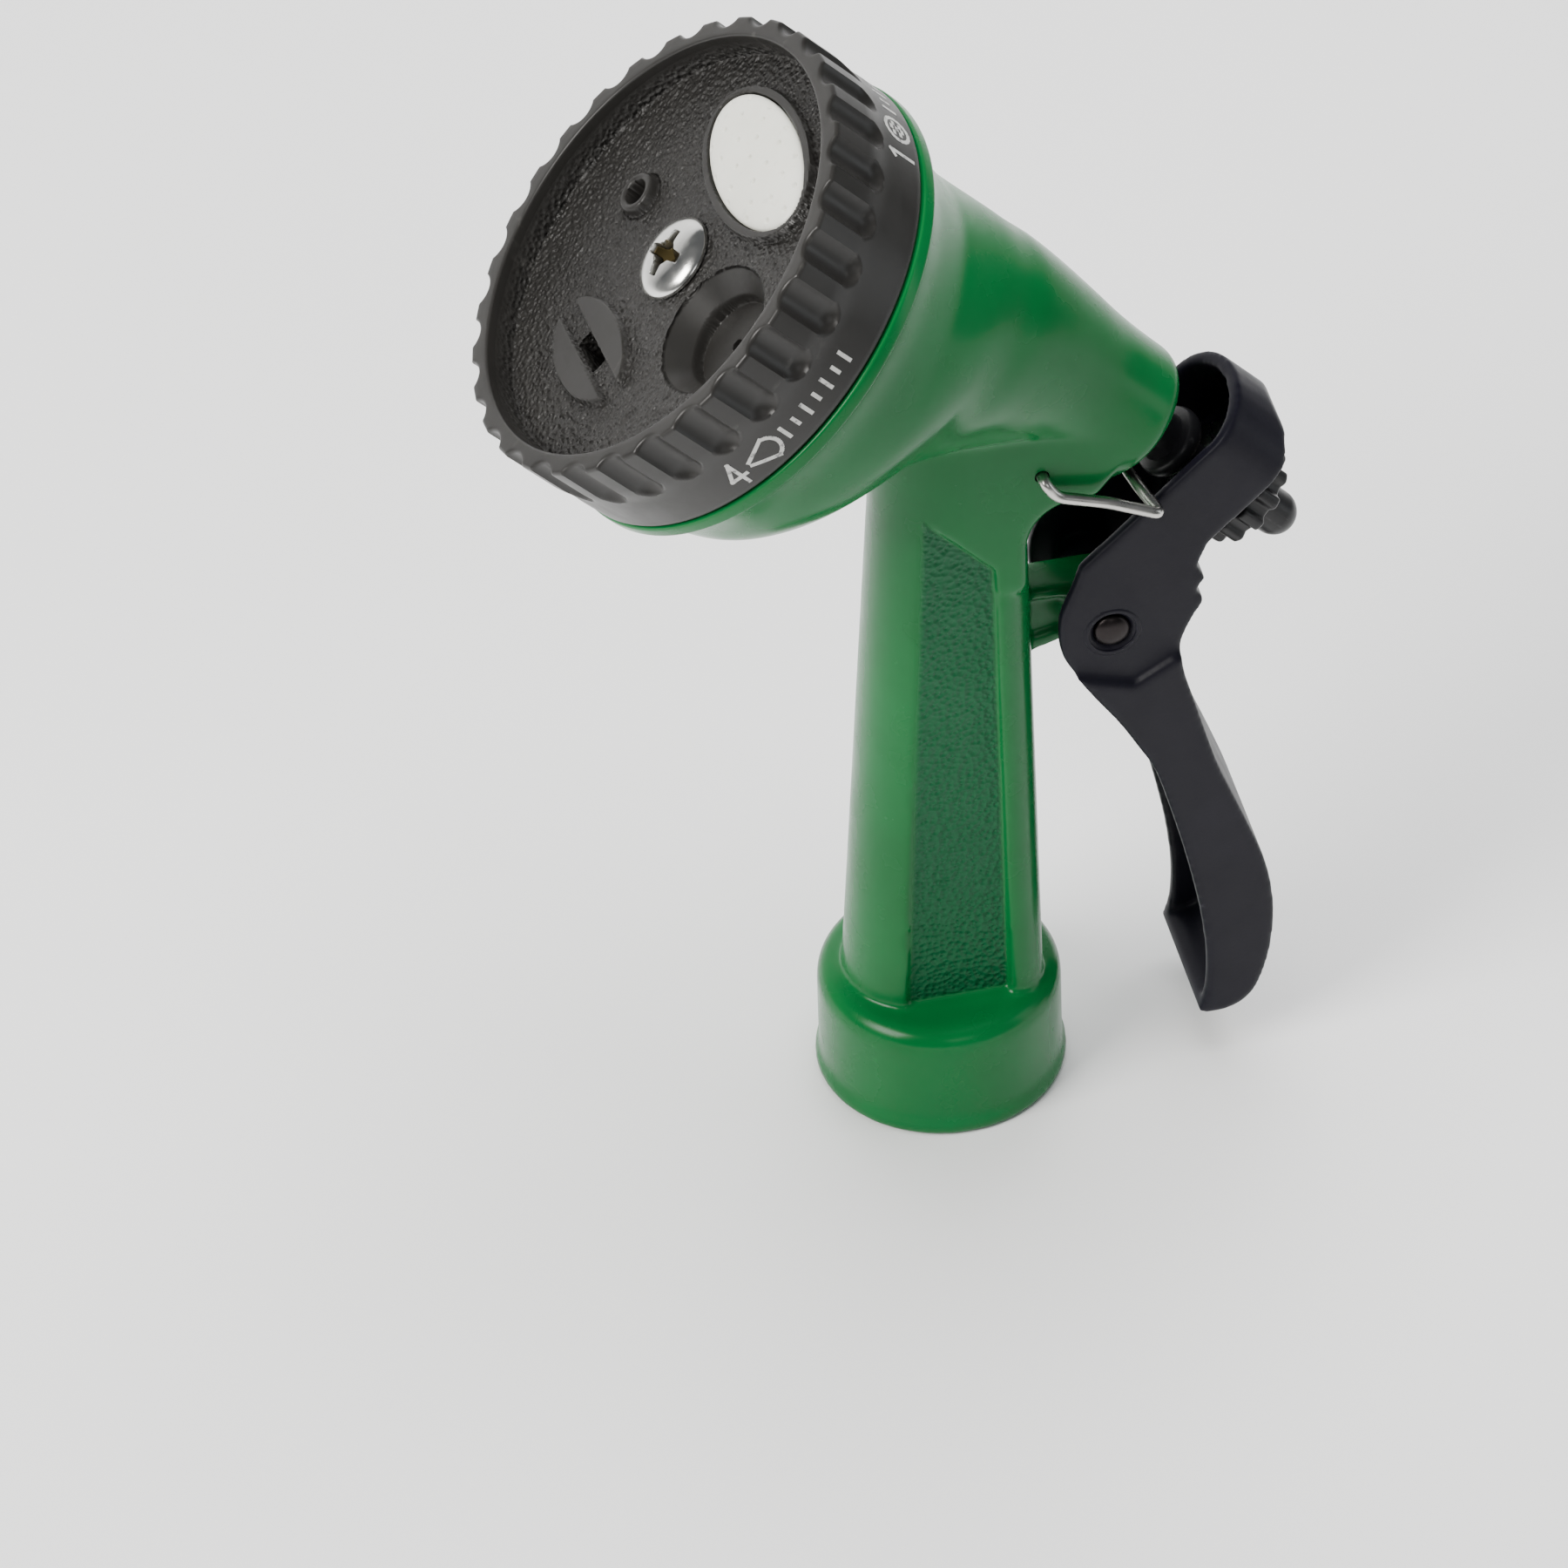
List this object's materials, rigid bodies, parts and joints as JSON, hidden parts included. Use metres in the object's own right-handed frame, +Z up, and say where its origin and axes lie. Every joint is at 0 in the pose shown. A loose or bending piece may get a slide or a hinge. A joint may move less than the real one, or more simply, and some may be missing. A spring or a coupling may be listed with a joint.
{
  "type": "hose spray gun",
  "caption": "Pistol-grip garden hose spray gun with a green body, a black dial of spray patterns, a rear lever, an adjusting nut and a hold-open wire.",
  "frame": {"origin": "on the plane of the hose inlet's open face, centred under the whole gun's box", "axes": "+Z up along the handle, +X towards the lever, so the gun sprays towards -X and up; Y across the gun"},
  "size_m": [0.1023, 0.061, 0.1619],
  "materials": {
    "green_shell": "gloss",
    "black_plastic": "satin, leather grain on the dial's face",
    "lever_plastic": "satin",
    "stem_plastic": "satin",
    "cream_plastic": "satin",
    "zinc_screw": "bright plated",
    "steel_wire": "bright drawn wire",
    "dark_pin": "blackened",
    "rubber": "matte"
  },
  "bodies": {
    "gun_body": {"body": "green_shell", "outlet_plate": "black_plastic", "outlet_seal": "rubber", "outlet_seal_spring": "steel_wire", "detent_ball": "steel_wire", "detent_spring": "steel_wire", "dial_screw": "zinc_screw", "dial_washer": "steel_wire", "inlet_washer": "rubber", "gland": "black_plastic", "gland_o_ring": "rubber", "stem_o_ring": "rubber", "pivot_pin": "dark_pin", "valve_spring": "steel_wire"},
    "dial": {"selector_dial": "black_plastic", "rose_disc": "cream_plastic", "dial_back_plate": "black_plastic"},
    "lever": {"lever": "lever_plastic", "yoke_washer": "steel_wire"},
    "valve": {"valve_stem": "stem_plastic", "valve_seal": "rubber"},
    "nut": {"adjusting_nut": "black_plastic"},
    "wire": {"hold_open_wire": "steel_wire"}
  },
  "joints": [
    {"name": "dial_turn", "type": "hinge", "parent": "gun_body", "child": "dial", "pos_m": [-0.02891, 0, 0.1408], "axis": [-0.688, 0, 0.7257], "continuous": true},
    {"name": "lever_squeeze", "type": "hinge", "parent": "gun_body", "child": "lever", "pos_m": [0.02519, 0, 0.075], "axis": [0, 1, 0], "range_deg": [0, 12.6], "stiffness_Nm_per_rad": 0.3, "springref_deg": -11.46},
    {"name": "valve_slide", "type": "slide", "parent": "gun_body", "child": "valve", "axis": [0.688, 0, -0.7257], "range_m": [0, 0.0057], "deforming": ["valve_spring"]},
    {"name": "nut_turn", "type": "hinge", "parent": "valve", "child": "nut", "pos_m": [0.04318, 0, 0.08787], "axis": [0.688, 0, -0.7257], "continuous": true},
    {"name": "wire_swing", "type": "hinge", "parent": "gun_body", "child": "wire", "pos_m": [0.01627, 0, 0.1026], "axis": [0, 1, 0], "range_deg": [0, 35]}
  ],
  "couplings": [
    {"joint": "valve_slide", "follows": "lever_squeeze", "m_per_rad": 0.0255}
  ]
}
